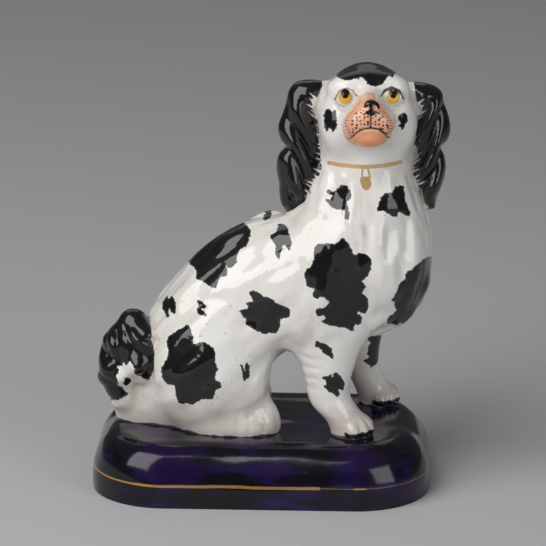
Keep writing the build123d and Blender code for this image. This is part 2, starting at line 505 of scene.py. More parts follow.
# across and up from the head's centre, in the head's own frame
LID = [(14.6, 6.4), (12.8, 9.8), (9.9, 11.3), (7.2, 10.2), (4.8, 7.6)]
LOWER_LID = [(14.4, 5.6), (12.9, 3), (10.3, 1.7), (7.6, 2.6), (5.6, 5.2)]
MOUTH = [(-8.6, -10.6), (-6.4, -8.6), (-3.4, -6.7), (0, -6.1), (3.4, -6.7), (6.4, -8.6), (8.6, -10.6)]
CLEFT = [(0, -0.5), (0, -6.1)]  # from the nose down to the mouth
CURL_HEIGHT = 18.5  # from one lock of an ear to the next
CURL_DROP = 24.0  # how far a lock falls on its way across the ear
CURL_NOTCH = 155.0  # height of the deep groove at the ear's outer edge
TAIL_LOCK = 0.41  # radians from one lock of the tail to the next
TAIL_LOBE = 12.0  # height of the lobes down the tail's outer side
TAIL_NOTCH = 51.0  # height of one groove between the lobes


def line_distance(q, points):
    """Distance in the plane from each point of q to a line through points."""
    best = np.full(len(q), np.inf)
    for a, b in zip(points, points[1:]):
        a, b = np.array(a, float), np.array(b, float)
        along = b - a
        t = np.clip((q - a) @ along / (along @ along), 0, 1)
        best = np.minimum(best, np.linalg.norm(q - a - t[:, None] * along, axis=1))
    return best


def groove(distance, width):
    return np.exp(-np.square(distance / width))


def ridges(phase, sharp=0.6):
    """Rounded ridges with narrow grooves between them, one for each whole phase, from -0.5 to 0.5."""
    return np.abs(np.sin(math.pi * phase)) ** sharp - 0.65


def ear_relief(p, side):
    low, high = EAR_BOX[side]
    across = (p[:, 0] - low[0]) / (high[0] - low[0])
    if side == "right":
        across = 1 - across
    fall = CURL_DROP * smooth_step(1 - across)
    sway = 6.0 * noise(p, 15.0)
    phase = (p[:, 2] + fall + sway - CURL_NOTCH) / CURL_HEIGHT
    size = ramp(p[:, 2], 126, 136) * (1 - ramp(p[:, 2], 172, 183))
    rim = ramp(across, 0.62, 0.88)
    locks = (1 - 0.7 * rim) * (2.8 * ridges(phase, 1.35) + 0.4 * noise(p, 10.0))
    notch = 1.6 * rim * groove(p[:, 2] - CURL_NOTCH, 2.2)
    return size * locks - notch + 0.4 * noise(p, 9.0)


def tail_relief(p):
    """Locks that spread from the top of the tail, stacked on its outer side."""
    low, high = TAIL_LOW, TAIL_HIGH
    across = p[:, 0] - 0.5 * p[:, 1] - (low[0] + high[0]) / 2 - 2.0
    spread = np.arctan2(across, high[2] + 8 - p[:, 2]) + 0.05 * noise(p, 9.0)
    phase = spread / TAIL_LOCK + 0.45 * np.sin((p[:, 2] - low[2]) / 6.0) + 0.25 * noise(p, 10.0)
    outer = 1 - ramp(p[:, 0], low[0] + 5, low[0] + 13)
    slant = 0.5 * (p[:, 0] - low[0])
    height = p[:, 2] + slant + 2.5 * noise(p + 20, 9.0)
    lobes = outer * 1.4 * ridges((height - TAIL_NOTCH) / TAIL_LOBE, 0.9)
    size = ramp(p[:, 2], low[2], low[2] + 6) * (1 - ramp(p[:, 2], high[2] - 10, high[2] - 2))
    locks = (1 - 0.6 * outer) * (1.6 * ridges(phase, 1.3) + 0.7 * noise(p, 5.0))
    smooth = ramp(p[:, 0], -65, -59) * (1 - ramp(p[:, 2], 46, 54))
    return (1 - smooth) * (size * (locks + lobes) + 0.3 * noise(p, 7.0))


def coat_relief(p):
    """Soft tufts that run down the neck and chest, and back along the trunk."""
    down = np.stack([p[:, 0], p[:, 1], p[:, 2] / 2.6], 1)
    lean = math.radians(42)
    along = p[:, 0] * math.cos(lean) + p[:, 2] * math.sin(lean)
    over_back = -p[:, 0] * math.sin(lean) + p[:, 2] * math.cos(lean)
    back = np.stack([along / 2.6, p[:, 1], over_back], 1)
    front = ramp(p[:, 0], 8, 26)
    tufts = front * noise(down, 5.8) + (1 - front) * 0.9 * noise(back, 6.4)
    fine = front * noise(down, 3.4) + (1 - front) * 0.6 * noise(back, 3.6)
    neck = ramp(p[:, 2], 96, 128) * (1 - ramp(p[:, 2], COLLAR - 5, COLLAR))
    rest = ramp(p[:, 2], TOP + 4, TOP + 22) * (1 - ramp(p[:, 2], COLLAR - 3, COLLAR + 2))
    return rest * ((1.35 - 0.15 * neck * front) * tufts + (0.20 + 0.05 * neck) * fine)


def face_relief(p):
    q = in_head(p)
    front = ramp(-q[:, 1], 8, 13)
    flat = np.stack([np.abs(q[:, 0]), q[:, 2]], 1)
    h = 0.5 * groove(line_distance(flat, LID), 0.8)
    h -= 0.35 * groove(line_distance(flat, LOWER_LID), 0.9)
    h -= 0.75 * groove(line_distance(q[:, [0, 2]], MOUTH), 0.55)
    h -= 0.5 * groove(line_distance(q[:, [0, 2]], [(0, -0.8), (0, -6.0)]), 0.4)
    h -= 0.9 * groove(np.hypot(flat[:, 0] - 1.7, (q[:, 2] - 2.9) * 1.2), 0.7)
    waves = np.stack([q[:, 0], q[:, 1], q[:, 2] / 2.6], 1)
    nape = ramp(q[:, 1], -2, 8) * (1 - ramp(q[:, 2], 4, 14))
    return front * h + 1.4 * nape * noise(waves, 6.5) + 0.06 * noise(p, 3.0) + 0.12 * noise(p, 9.0)


def toe_relief(p, side):
    """Shallow grooves fanned between the toes of a hind foot."""
    x, y = HAUNCHES[side]
    offset = p[:, :2] - (x + 11, y - SIDES[side])
    angle = np.degrees(np.arctan2(offset[:, 1], offset[:, 0])) - SIDES[side] * 20
    front = (1 - ramp(np.abs(angle), 62, 80)) * ramp(np.hypot(*offset.T), 6, 11)
    front *= ramp(p[:, 2], TOP - 1, TOP + 3) * (1 - ramp(p[:, 2], TOP + 8, TOP + 15))
    return front * 0.55 * ridges(angle / 23.0, 0.6)


def feather_relief(p):
    """Small locks down the back of a foreleg."""
    behind = 1 - ramp(p[:, 0] + 0.1 * p[:, 1], 21, 28)
    height = p[:, 2] + 1.5 * noise(p, 8.0)
    level = ramp(p[:, 2], 42, 50) * (1 - ramp(p[:, 2], 66, 74))
    return behind * level * 0.32 * ridges(height / 5.4, 1.2)


def relief(p, parts):
    """How far each point stands out from the smooth form."""
    near = np.stack(list(parts.values()), 1)
    names = list(parts)

    def share(name, soft=2.5):
        """1 on a part and 0 on the others, changing over a width of soft on both sides of its edge."""
        rest = np.delete(near, names.index(name), axis=1).min(1)
        return ramp(rest - parts[name], -soft, soft)

    h = 0.10 * noise(p, 9.0)
    h += (share("trunk") + 0.6 * share("hind_leg_right") + 0.6 * share("hind_leg_left")) * coat_relief(p)
    h += share("head") * face_relief(p)
    for side in SIDES:
        h += share("foreleg_" + side) * feather_relief(p) + share("hind_leg_" + side) * toe_relief(p, side)
    h += share("tail", 1.2) * tail_relief(p)
    for side in SIDES:
        h += share("ear_" + side, 1.0) * ear_relief(p, side)
    return h


# ---- pieces ----


def close_shell(points, normals, triangles):
    """Gives an open patch a thickness: returns points, normals and triangles of the closed shell."""
    n = len(points)
    inner = points - normals * SHELL
    edges = edges_of(triangles)
    key = edges[:, 0] * n + edges[:, 1]
    back = edges[:, 1] * n + edges[:, 0]
    rim = edges[~np.isin(key, back)]
    a, b = rim[:, 0], rim[:, 1]
    walls = np.vstack([np.stack([a, a + n, b], 1), np.stack([b, a + n, b + n], 1)])
    both = np.vstack([triangles, triangles[:, ::-1] + n, walls])
    return np.vstack([points, inner]), np.vstack([normals, -normals]), both


def linked(name, data):
    """A new object in the scene."""
    thing = bpy.data.objects.new(name, data)
    bpy.context.scene.collection.objects.link(thing)
    return thing


def make_mesh(name, points, normals, triangles, attributes):
    mesh = bpy.data.meshes.new(name)
    mesh.vertices.add(len(points))
    mesh.vertices.foreach_set("co", (points * MM).astype(np.float32).ravel())
    mesh.loops.add(len(triangles) * 3)
    mesh.loops.foreach_set("vertex_index", triangles.astype(np.int32).ravel())
    mesh.polygons.add(len(triangles))
    mesh.polygons.foreach_set("loop_start", np.arange(0, len(triangles) * 3, 3, dtype=np.int32))
    mesh.update(calc_edges=True)
    mesh.validate()
    for key, values in attributes.items():
        kind = "FLOAT" if values.ndim == 1 else "FLOAT_VECTOR"
        layer = mesh.attributes.new(key, kind, "POINT")
        layer.data.foreach_set("value" if values.ndim == 1 else "vector", values.astype(np.float32).ravel())
    mesh.shade_smooth()
    mesh.normals_split_custom_set_from_vertices(normals.tolist())
    return linked(name, mesh)


PLACE, SMOOTH, NORMAL, NEAREST, HOLLOW = slice(0, 3), slice(3, 6), slice(6, 9), slice(9, -1), -1
HOLLOW_SPAN = 2.2  # how far round a vertex its hollowness is taken
HEAD_BOX = (2, -46, 120), (92, 28, 196)
BODY_BOX = (-80, -42, TOP - 1.5), (84, 44, 152)


def sculpt(low, high, step):
    """The dog's detailed surface in a box. Each vertex has a row: its place, its place on the smooth form,
    its normal, its distance to each part, and how hollow it is. The triangles come second."""
    smooth, triangles = skin(np.array(low, float), np.array(high, float), step)
    normals = vertex_normals(smooth, triangles)
    if np.sum(normals * (smooth - smooth.mean(0))) < 0:
        triangles = triangles[:, ::-1]
        normals = -normals
    parts = distances(smooth)
    place = smooth + normals * relief(smooth, parts)[:, None]
    normals = vertex_normals(place, triangles)
    hollow = hollowness(place, normals, triangles, HOLLOW_SPAN / step)
    columns = [place, smooth, normals, np.stack(list(parts.values()), 1), hollow[:, None]]
    return np.hstack(columns), triangles


def part_wins(name):
    """Below zero where this part is nearer than every other."""
    mine = list(PARTS).index(name)

    def side_of(data):
        near = data[:, NEAREST]
        return near[:, mine] - np.delete(near, mine, axis=1).min(1)

    return side_of


def over(height):
    """Below zero over a height."""
    return lambda data: height - data[:, SMOOTH][:, 2]


def under(height):
    """Below zero under a height."""
    return lambda data: data[:, SMOOTH][:, 2] - height


def front_of_head(data):
    """Below zero in front of the head's seam."""
    return data[:, SMOOTH][:, 1] - FACE_SEAM


SEAM_SWING = 0.065  # how far the body's seam swings to the dog's right for each millimetre forward
SEAM_PLACE = 0.6  # where it passes the middle, to the dog's left


def right_of_seam(data):
    """Below zero on the dog's right of the seam along the spine, which is the body halves' joint."""
    p = data[:, SMOOTH]
    return SEAM_SWING * p[:, 0] + (p[:, 1] - SEAM_PLACE)


def take(data, triangles, *sides):
    """Takes out the triangles where every one of the sides is below zero. Returns data, taken and left."""
    value = np.max([side(data) for side in sides], axis=0)
    return divide(data, triangles, value)


# ---- painting: outlines on an upright sheet along the dog's length ----
# The patches are drawn as x and height on the sheet y = 0. A point of the dog meets the sheet on the line
# from PAINTED_FROM, which is the camera's place: the near side is laid out for that view. The paint is
# then fixed to the surface, as values at its vertices, and doesn't follow the camera.

PAINTED_FROM = np.array([65.3, -1437.5, 523.5])

SHOULDER = [
    (22, 99), (23.2, 103.5), (23.4, 108), (25.2, 109.6), (28.3, 109.8), (29.6, 110.6), (31, 109.6),
    (33.5, 110.4), (35.6, 112.4), (37.2, 112), (40.3, 107.8), (41.3, 104.9), (44, 105.6), (47.5, 104.6),
    (49.5, 101.3), (48.8, 97.8), (47.4, 94.8), (45.2, 92.4), (46.9, 90), (45.4, 86.5), (47.8, 83.8),
    (48, 79), (46.6, 76.6), (43.4, 77), (45.3, 75), (44.6, 71.4), (41.8, 71.3), (41.4, 69),
    (39.8, 68.9), (37, 70.3), (32.2, 71), (26.8, 73.2), (28.5, 74.8), (27.4, 76), (24.6, 75.8),
    (24.2, 79), (26.6, 79.6), (30.2, 82.2), (27.4, 85), (24.6, 83.9), (22.6, 85.6), (23.6, 88.4),
    (20.4, 89.4), (19, 93.5), (19.6, 97.4),
]
MIDDLE = [
    (-6, 85.6), (-4.8, 87.4), (-3, 87.2), (0.8, 84.4), (4, 83.8), (8.5, 80.4), (11.8, 78.8), (12.6, 76),
    (11.4, 74.2), (8, 73.6), (8.2, 70.8), (6.4, 67.4), (3.4, 67.8), (1.6, 66.8), (-4, 69), (-8, 71),
    (-7.5, 73.2), (-10.4, 76.8), (-9.4, 78.2), (-6.4, 78.8), (-7.4, 81.4), (-4.2, 82.4),
]
HAUNCH_PATCH = [
    (-34, 71), (-35.6, 69.6), (-38, 68.4), (-41.2, 66.2), (-43.2, 64.2), (-43.4, 60), (-43, 56),
    (-45.4, 51.6), (-45.8, 48), (-44.2, 42.2), (-40.4, 41.4), (-39.4, 36.4), (-37.6, 32.8), (-34.2, 32.8),
    (-32.2, 32), (-27.5, 35), (-22, 35.8), (-21.6, 39.4), (-19, 41), (-19.2, 43.6), (-21.8, 44.8),
    (-20.2, 49.5), (-21.4, 53), (-21.2, 56), (-22.6, 60), (-26, 62.4), (-28.6, 62.4), (-31.2, 61.4),
    (-31.4, 64.8), (-32.6, 69),
]
BIB_RIGHT = [
    (28.6, 130.2), (30.5, 130.6), (31.5, 132), (29.4, 132.8), (29.6, 134.6), (30.8, 135.2), (31.6, 133.9),
    (34, 136.2), (37, 137.4), (38.2, 136), (39.3, 134.5), (39.9, 131.3), (38, 129.5), (38.8, 126.5),
    (39.2, 122), (38.6, 120.8), (37, 121.8), (36.8, 125.3), (31.5, 126.6),
]
BIB_LEFT = [
    (51.6, 126.4), (53.2, 131.8), (55.8, 133.6), (57.6, 133.8), (59, 136.2), (61.5, 137.4), (63.3, 136.2),
    (64.2, 130), (66.3, 124.5), (65.2, 122.8), (62, 124.6), (60.6, 124.4), (60.2, 122.4), (56.5, 123.9),
    (54, 125.4), (52.2, 124.8),
]
WITHERS = [
    (7.2, 119), (9.5, 118.8), (11.6, 116.8), (12.6, 112.5), (13.3, 110), (12.4, 106), (9.8, 109),
    (8.6, 106), (7.8, 101.8), (6, 104.4), (5.8, 108.8), (3.8, 111.8), (4.6, 113.4), (6.6, 115),
]
RUMP_HIGH = [
    (-43.3, 84.8), (-42.4, 83), (-41, 84), (-39.6, 83.4), (-39, 80), (-39.2, 77.5), (-40.6, 75.6),
    (-42.3, 78.2), (-42.6, 75), (-43.6, 73.6), (-44.3, 75.5), (-45.4, 79), (-44.8, 82),
]
RUMP_LOW = [
    (-30, 82.8), (-27.8, 82.2), (-25.6, 80), (-25.6, 78.2), (-27.6, 78.4), (-24.6, 75), (-26.8, 74.4),
    (-29.6, 76.4), (-30.4, 78.8), (-29.4, 79.8),
]
FLANK = [
    (-10.4, 51.8), (-9.2, 52.2), (-8.2, 48.6), (-8, 52.4), (-6.8, 53.2), (-5.4, 49), (-5.2, 46.4),
    (-7, 45.2), (-8.2, 44), (-9, 45.6), (-9.4, 49),
]
LEG_HIGH = [
    (24, 63.7), (26.5, 63.2), (29.3, 62.4), (30.9, 60.8), (32.1, 58.3), (32.4, 56), (31.7, 55.6),
    (28.6, 57.4), (25.8, 60.1), (24, 61.2),
]
LEG_LOW = [
    (27.3, 46.1), (28, 47), (29.4, 46.7), (31, 47.7), (31.9, 46.8), (33.5, 49), (35.9, 46.8),
    (37.5, 43.9), (37.2, 40.8), (35.2, 40.2), (34.8, 37.4), (31, 39.3), (28, 42), (29.1, 43.6),
]
FAR_LEG = [
    (54.5, 66.5), (52.9, 66.2), (51.4, 65.8), (50.1, 64.5), (48.4, 63.4), (47.7, 62.1), (48.1, 60.1),
    (49.5, 58.9), (47.4, 56.6), (45.9, 55.1), (48, 54), (51.5, 54.1), (54.5, 54),
]
CHEEK_RIGHT = [
    (27.2, 170), (28, 171.6), (30, 172), (31.2, 170.8), (32.2, 171.6), (33, 170.6), (32.8, 167),
    (33.1, 164), (31.6, 161.2), (29.8, 163), (28.8, 161.6), (27.6, 163.8), (27.4, 166.4),
]
CHEEK_LEFT = [
    (60.3, 168), (61.2, 169.6), (63.2, 170.8), (64.4, 169.6), (64.6, 167), (63.8, 164.6), (62.2, 162.2),
    (61.6, 164), (60.6, 164.6), (61.4, 166),
]
STROKES = [
    [(4, 124.8), (5.4, 127.6), (8.6, 131), (8.8, 129), (6.6, 125.4)],
    [(0.2, 121.2), (1.2, 123.8), (4.4, 127.4), (4.9, 125.6), (3.2, 122)],
]
NEAR_PATCHES = [
    SHOULDER, MIDDLE, HAUNCH_PATCH, BIB_RIGHT, BIB_LEFT, WITHERS, RUMP_HIGH, RUMP_LOW, FLANK, LEG_HIGH,
    LEG_LOW, CHEEK_RIGHT, CHEEK_LEFT, *STROKES,
]
CROWN = [
    (31, 190.6), (33.4, 188.8), (32.6, 187.2), (36.5, 185.3), (41, 185.6), (44.8, 186.2), (46.5, 183.5),
    (49.5, 182.3), (52.5, 183.3), (54.8, 185.6), (56, 187), (57.6, 186.6), (58.3, 187.6), (59.6, 190),
    (62, 194), (60, 202), (30, 202), (29, 194),
]
SPINE_PATCH = [
    (-32.8, 99.8), (-31.6, 98), (-29.5, 95.5), (-30.4, 92.4), (-27.5, 91.5), (-23, 88.6), (-20.5, 88.4),
    (-18.8, 93.5), (-16.3, 93.6), (-15.7, 95.8), (-16.4, 98.5), (-14.4, 98), (-12, 100.5), (-11, 106),
    (-7, 109), (-5.6, 113.5), (-5.6, 116.4), (-8, 118.6), (-12, 124), (-25, 116), (-35, 104),
]
CHEST_SIDE = [
    (73.6, 103.6), (71, 102), (67.4, 99.5), (64.6, 96), (64.6, 93.4), (62.2, 91.8), (60.4, 87.5),
    (58.2, 83), (59.6, 82.6), (60.2, 80.2), (60.8, 78.4), (58.2, 76.6), (55.8, 73.6), (60, 72),
    (72, 80), (80, 94), (80, 104),
]
WRAPPING_PATCHES = [CROWN, SPINE_PATCH, CHEST_SIDE, FAR_LEG]
EAR_PAINT = {
    "right": [
        (26.4, 185.4), (26.8, 183), (25.8, 180.4), (24, 178), (22, 176.6), (21.8, 174), (23, 170.5),
        (24.6, 166), (25.6, 161), (26.2, 157), (26, 153), (26.2, 149), (26, 145), (25.6, 141.5),
        (23.2, 139), (22.4, 135), (21.4, 131), (19, 129), (17.4, 127), (17, 120), (-2, 120),
        (-2, 192), (25, 192),
    ],
    "left": [
        (67, 185), (67.6, 181.5), (68, 178.5), (69.6, 176.5), (70.8, 173), (69.8, 170), (67.4, 167.4),
        (66.6, 163), (65.6, 159.4), (67.8, 159), (68.8, 156), (68.6, 152), (67.8, 149), (68.2, 146),
        (67.4, 143.4), (68.8, 141.5), (69.6, 138), (70.2, 135.2), (72.4, 131.2), (74.8, 127), (76, 120),
        (92, 120), (92, 192), (67, 192),
    ],
}
EAR_FRINGE = {"right": (3, 17), "left": (3, 17)}  # first and last point of the fringe in each outline
TAIL_PAINT = [
    (-51.4, 76), (-50.6, 70), (-50, 62), (-48.4, 55), (-49, 50), (-51.6, 44.4), (-54, 44),
    (-57.8, 46.4), (-58, 49.5), (-59.6, 53), (-61, 51.2), (-62.8, 52), (-64.2, 50.6), (-66.2, 50.4),
    (-65, 47.6), (-66.6, 46), (-65.4, 43), (-66.4, 41.6), (-63.8, 40), (-62, 37.5), (-60.6, 37.6),
    (-63.4, 35.4), (-68, 34), (-84, 34), (-84, 84), (-50, 84),
]
TAIL_SPOT = [(-63, 45), (-61.2, 45.6), (-60, 43.4), (-61.8, 41), (-63.2, 41.4)]
FAR_PATCHES = [  # on the dog's left side, laid out from PAINTED_FROM mirrored to that side
    [(30, 104), (36, 110), (43, 106), (46, 97), (42, 90), (44, 82), (36, 78),
     (30, 84), (24, 88), (22, 96)],
    [(0, 96), (7, 98), (11, 91), (8, 84), (1, 82), (-5, 86), (-4, 92)],
    [(-20, 78), (-14, 77), (-13, 71), (-18, 66), (-24, 69), (-24, 75)],
    [(-40, 68), (-32, 70), (-27, 64), (-25, 55), (-28, 46), (-35, 42), (-42, 45),
     (-46, 53), (-44, 62)],
    [(12, 118), (17, 117), (17, 109), (13, 104), (9, 108), (9, 114)],
    [(37, 163), (42, 167), (48, 164), (49, 158), (44, 154), (38, 156)],
    [(36, 132), (42, 133), (45, 127), (42, 120), (36, 122), (33, 127)],
    [(56, 128), (61, 129), (63, 123), (59, 117), (54, 120)],
    [(46, 62), (50, 60), (50, 54), (46, 51), (44, 56)],
]
COLLAR_LINE = [
    (29.9, 147.3), (34, 146.4), (40, 145.8), (46.5, 145.6), (53, 146.1), (58, 147), (61.6, 148.1),
]
LOCK_LOOP = [(44.9, 145), (44.5, 140.5)], [(47.2, 145), (48.3, 140.5)]
LOCK_BODY = [
    (44, 140.8), (48.8, 140.8), (48.9, 137.6), (48, 135.6), (46.6, 134.8), (45, 135.6), (44.1, 137.6),
]


def fringed(outline, first, last, side):
    """The outline with its points from first to last drawn as pointed brush strokes: white wedges that
    climb into the black of an ear, and black teeth between them that hang towards the neck."""
    random = np.random.default_rng(SEED)
    path = np.array(outline[first : last + 1])
    lengths = np.append(0, np.cumsum(np.linalg.norm(np.diff(path, axis=0), axis=1)))

    def along(s):
        return np.array([np.interp(s, lengths, path[:, i]) for i in (0, 1)])

    strokes = []
    s = 1.0
    while s < lengths[-1] - 1.0:
        length = random.uniform(0.6, 3.9)
        half = 0.28 + 0.11 * length
        climb = math.radians(random.uniform(10, 45))
        into = np.array([side * math.cos(climb), math.sin(climb)])
        foot = along(s - half) - into * random.uniform(0.4, 1.2)
        strokes += [foot, along(s) + into * length, along(s + half)]
        s += half + random.uniform(1.0, 3.2)
    return outline[:first] + [tuple(point) for point in strokes] + outline[last + 1 :]


def rounded(outline, steps=3):
    """The closed outline as a smooth curve through its points."""
    points = np.array(outline, float)
    out = []
    for i in range(len(points)):
        a, b, c, d = points[i - 1], points[i], points[(i + 1) % len(points)], points[(i + 2) % len(points)]
        for t in np.arange(steps) / steps:
            out.append(on_curve(a, b, c, d, t))
    return np.array(out)


BEYOND = 6.0  # how far outside an outline the depth inside it is still followed


def depth_inside(q, outline, smooth=True):
    """How far inside the outline each point of the sheet is: negative outside it."""
    points = rounded(outline) if smooth else np.array(outline, float)
    low, high = points.min(0) - BEYOND, points.max(0) + BEYOND
    result = np.full(len(q), -BEYOND)
    close = np.all((q > low) & (q < high), axis=1)
    if not close.any():
        return result
    part = q[close]
    loop = np.vstack([points, points[:1]])
    distance = line_distance(part, loop)
    crossings = np.zeros(len(part), int)
    for (x0, z0), (x1, z1) in zip(loop, loop[1:]):
        if z0 == z1:
            continue
        spans = (part[:, 1] >= min(z0, z1)) & (part[:, 1] < max(z0, z1))
        crossings += spans & (part[:, 0] < x0 + (part[:, 1] - z0) * (x1 - x0) / (z1 - z0))
    result[close] = np.where(crossings % 2 == 1, distance, -distance)
    return np.maximum(result, -BEYOND)


def on_sheet(p, viewer):
    """Where the line from the viewer to each point meets the sheet y = 0."""
    share = -viewer[1] / (p[:, 1] - viewer[1])
    met = viewer + (p - viewer) * share[:, None]
    return met[:, [0, 2]]


def brushwork(p, normals, near):
    """For each point: how deep it lies in black paint and in gilding, in millimetres, and how crisp the
    edge of the black is there."""
    names = list(PARTS)
    back = PAINTED_FROM - p
    slant = np.sum(back * normals, axis=1) / np.linalg.norm(back, axis=1)
    facing = slant > 0
    q = on_sheet(p, PAINTED_FROM)
    behind = on_sheet(p, PAINTED_FROM * (1, -1, 1))
    wander = np.stack([noise(p + 50, 6.0), noise(p + 90, 6.0)], 1)
    behind += 2.6 * wander
    wrapped = q + 4.5 * ramp(p[:, 1], 0, 12)[:, None] * wander
    black = np.full(len(p), -BEYOND)
    for outline in NEAR_PATCHES:
        black = np.where(facing, np.maximum(black, depth_inside(q, outline)), black)
    for outline in WRAPPING_PATCHES:
        black = np.maximum(black, depth_inside(wrapped, outline))
    for outline in FAR_PATCHES:
        black = np.where(facing, black, np.maximum(black, depth_inside(behind, outline)))

    def lead(name):
        mine = names.index(name)
        return np.delete(near, mine, axis=1).min(1) - near[:, mine]

    crisp = np.zeros(len(p))
    for side in SIDES:
        outline = fringed(EAR_PAINT[side], *EAR_FRINGE[side], SIDES[side])
        inside = np.where(facing, depth_inside(q, outline, smooth=False), 3.0)
        margin = 0.4 + 4.0 * ramp(p[:, 2], 128, 136) * ramp(slant, 0.25, 0.5)
        black = np.maximum(black, np.minimum(inside, lead("ear_" + side) + margin))
        crisp = np.maximum(crisp, (lead("ear_" + side) > -margin) * facing)
    inside = np.where(facing, np.maximum(depth_inside(q, TAIL_PAINT), depth_inside(q, TAIL_SPOT)), 3.0)
    black = np.maximum(black, np.minimum(inside, lead("tail") + 0.3))

    gilt = 0.95 - line_distance(q, COLLAR_LINE)
    for rod in LOCK_LOOP:
        gilt = np.maximum(gilt, 0.45 - line_distance(q, rod))
    gilt = np.maximum(gilt, depth_inside(q, LOCK_BODY))
    gilt = np.where(facing, gilt, -BEYOND)
    return black, np.maximum(gilt, -BEYOND), crisp


def claws(p):
    """How deep each point lies in the black brushed over the front toes."""
    black = np.full(len(p), -BEYOND)
    for x, y in FOREPAWS.values():
        heading = math.radians(PAW_HEADING)
        ahead = (p[:, :2] - (x, y)) @ (math.cos(heading), math.sin(heading))
        near_foot = np.hypot(p[:, 0] - x, p[:, 1] - y) < 16
        band = 1.25 - np.abs(p[:, 2] - TOP - 2.1 - 0.4 * noise(p, 2.6))
        black = np.where(near_foot, np.maximum(black, np.minimum(ahead - 2.5, band)), black)
    return black


# ---- materials ----

WHITE = (0.84, 0.825, 0.79, 1)
WHITE_SHADE = (0.77, 0.745, 0.70, 1)
# warm tan: the tint in the hollows, and the stain and painted shade low on the dog
STAIN_AND_SHADE = (0.36, 0.27, 0.20, 1)
SPECK = (0.42, 0.30, 0.20, 1)
BLACK = (0.007, 0.007, 0.0075, 1)
BLACK_THIN = (0.05, 0.045, 0.042, 1)
COBALT_STAIN = (0.016, 0.014, 0.060, 1)  # the base's glaze, caught where the dog stands on it
GOLDS = (0.80, 0.52, 0.26, 1), (0.62, 0.36, 0.15, 1)
LINE_GOLDS = (0.66, 0.36, 0.11, 1), (0.44, 0.22, 0.06, 1)
SALMON = (0.87, 0.43, 0.26, 1)
SALMON_DEEP = (0.80, 0.31, 0.14, 1)
AMBER = (0.80, 0.45, 0.035, 1)
AMBER_RIM = (0.62, 0.30, 0.02, 1)
INK = (0.03, 0.02, 0.018, 1)
BROWN_INK = (0.16, 0.10, 0.075, 1)
COBALT = (0.005, 0.004, 0.007, 1)
VIOLET = (0.013, 0.005, 0.038, 1)
BLUE = (0.012, 0.008, 0.070, 1)
BLUE_SPECK = (0.10, 0.09, 0.30, 1)
CLAYS = (0.50, 0.42, 0.33, 1), (0.36, 0.30, 0.24, 1)
GRIT = (0.20, 0.16, 0.13, 1)
FLOOR = (0.53, 0.53, 0.54, 1)
# painted shade: the wall is given a darker grey than the floor, standing in for light falling off up and
# away
PAINTED_WALL_SHADE = (0.33, 0.33, 0.34, 1)


class Nodes:
    """Short ways to add shader nodes to one new material."""

    def __init__(self, name):
        self.material = bpy.data.materials.new(name)
        self.material.use_nodes = True
        self.tree = self.material.node_tree
        self.shader = self.tree.nodes["Principled BSDF"]
        self.place = self.tree.nodes.new("ShaderNodeTexCoord").outputs["Object"]

    def put(self, value, socket):
        if isinstance(value, bpy.types.NodeSocket):
            self.tree.links.new(value, socket)
        else:
            socket.default_value = value

    def shade(self, values):
        """Gives each named input of the shader a value or a link."""
        for name, value in values.items():
            self.put(value, self.shader.inputs[name])

    def node(self, kind, values, **settings):
        node = self.tree.nodes.new(kind)
        for key, value in settings.items():
            setattr(node, key, value)
        for value, socket in zip(values, node.inputs):
            if value is not None:
                self.put(value, socket)
        return node

    def math(self, operation, *values):
        return self.node("ShaderNodeMath", values, operation=operation).outputs[0]

    def times(self, first, *others):
        for other in others:
            first = self.math("MULTIPLY", first, other)
        return first

    def step(self, value, start, end, low=0.0, high=1.0):
        """Goes smoothly from low to high as value goes from start to end."""
        values = (value, start, end, low, high)
        return self.node("ShaderNodeMapRange", values, interpolation_type="SMOOTHSTEP").outputs[0]

    def mix(self, share, a, b):
        node = self.tree.nodes.new("ShaderNodeMix")
        node.data_type = "RGBA"
        for value, index in ((share, 0), (a, 6), (b, 7)):
            self.put(value, node.inputs[index])
        return node.outputs[2]

    def axes(self, vector):
        """The x, y and z of a vector."""
        return self.node("ShaderNodeSeparateXYZ", (vector,)).outputs[:3]

    def noise(self, size, stretch=(1, 1, 1), detail=2.0):
        """Noise from 0 to 1, mostly near 0.5, with features about size millimetres across."""
        shaped = self.node("ShaderNodeMapping", (self.place, None, None, stretch), vector_type="POINT")
        node = self.tree.nodes.new("ShaderNodeTexNoise")
        self.put(shaped.outputs[0], node.inputs["Vector"])
        node.inputs["Scale"].default_value = 1 / (size * MM)
        node.inputs["Detail"].default_value = detail
        return node.outputs[0]

    def wobble(self, reach, size, **settings):
        """Noise from -reach to reach."""
        return self.math("MULTIPLY_ADD", self.noise(size, **settings), 2 * reach, -reach)

    def cells(self, scale, vector, **settings):
        """Distances in a pattern of random cells."""
        node = self.tree.nodes.new("ShaderNodeTexVoronoi")
        for key, value in settings.items():
            setattr(node, key, value)
        node.inputs["Scale"].default_value = scale
        self.put(vector, node.inputs["Vector"])
        return node

    def attribute(self, name, output="Fac"):
        return self.node("ShaderNodeAttribute", (), attribute_name=name).outputs[output]

    def bump(self, height, distance):
        node = self.tree.nodes.new("ShaderNodeBump")
        node.inputs["Strength"].default_value = 1.0
        node.inputs["Distance"].default_value = distance * MM
        self.put(height, node.inputs["Height"])
        self.shade({"Normal": node.outputs[0], "Coat Normal": node.outputs[0]})

    def glaze(self, colour, roughness, metallic, coat=1.0, coat_roughness=0.035, coat_ior=1.5):
        """A colour under a clear glassy coat."""
        self.shade({"Base Color": colour, "Roughness": roughness, "Metallic": metallic})
        self.shade({"Coat Weight": coat, "Coat Roughness": coat_roughness, "Coat IOR": coat_ior})
        self.shade({"Specular IOR Level": 0.1})


